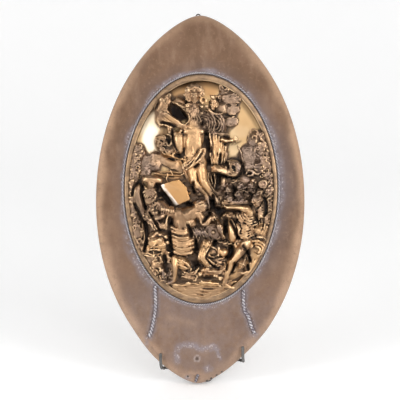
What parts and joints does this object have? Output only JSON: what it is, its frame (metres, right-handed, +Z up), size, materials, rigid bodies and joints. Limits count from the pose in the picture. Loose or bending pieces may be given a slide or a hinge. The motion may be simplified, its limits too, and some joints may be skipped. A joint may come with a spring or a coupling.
{
  "type": "relief panel",
  "caption": "Upright pointed oval board covered in velvet, carrying an oval cast bronze high relief edged with cord, held in a low hooked steel display stand.",
  "frame": {"origin": "on the floor under the middle of the whole, stand included", "axes": "+X to the right as seen from the front, +Y to the back, +Z up; the panel leans back by 12 degrees"},
  "size_m": [0.2718, 0.1262, 0.4737],
  "materials": {
    "wood": "plain old softwood, bare on the back",
    "velvet": "worn brown velvet, lighter at the edges",
    "bronze": "cast bronze, golden where rubbed and dark brown in the hollows",
    "cord": "twisted metallic cord, tarnished grey",
    "iron": "dark iron wire",
    "steel": "blackened steel"
  },
  "bodies": {
    "root": {"wooden_board": "wood", "velvet_cover": "velvet", "bronze_relief": "bronze", "oval_cord": "cord", "left_seam_cord": "cord", "right_seam_cord": "cord", "hanging_eye": "iron", "display_stand": "steel"}
  },
  "joints": []
}
